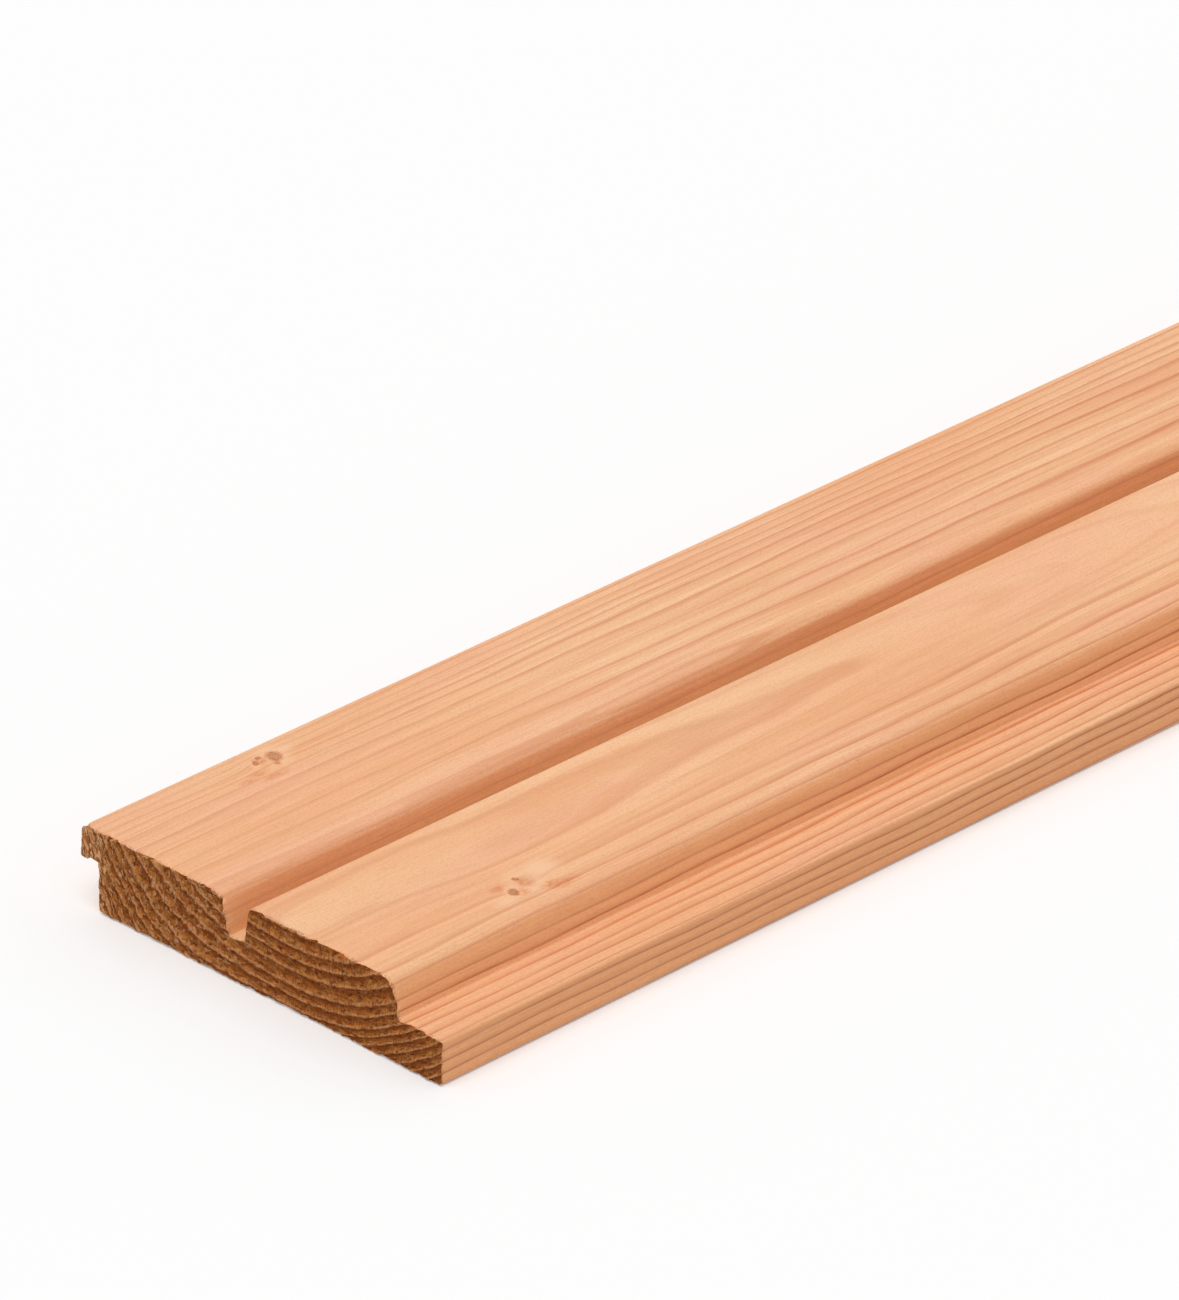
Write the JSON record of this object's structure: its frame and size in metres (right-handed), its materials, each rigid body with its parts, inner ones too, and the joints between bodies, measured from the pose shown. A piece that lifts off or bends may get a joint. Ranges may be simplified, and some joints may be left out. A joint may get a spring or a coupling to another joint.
{
  "type": "rhombus cladding board",
  "caption": "Softwood cladding board with two sloped-sided battens moulded on its face, a shadow groove between them, and half-lap lips along both edges.",
  "frame": {"origin": "middle of the back face, halfway along the board", "axes": "+X along the board, +Y across it towards the upper lip, +Z out of the moulded face"},
  "size_m": [1.8, 0.145, 0.026],
  "materials": {
    "softwood": "planed faces and fine-sawn ends, untreated"
  },
  "bodies": {
    "root": {"cladding_board": "softwood"}
  },
  "joints": []
}
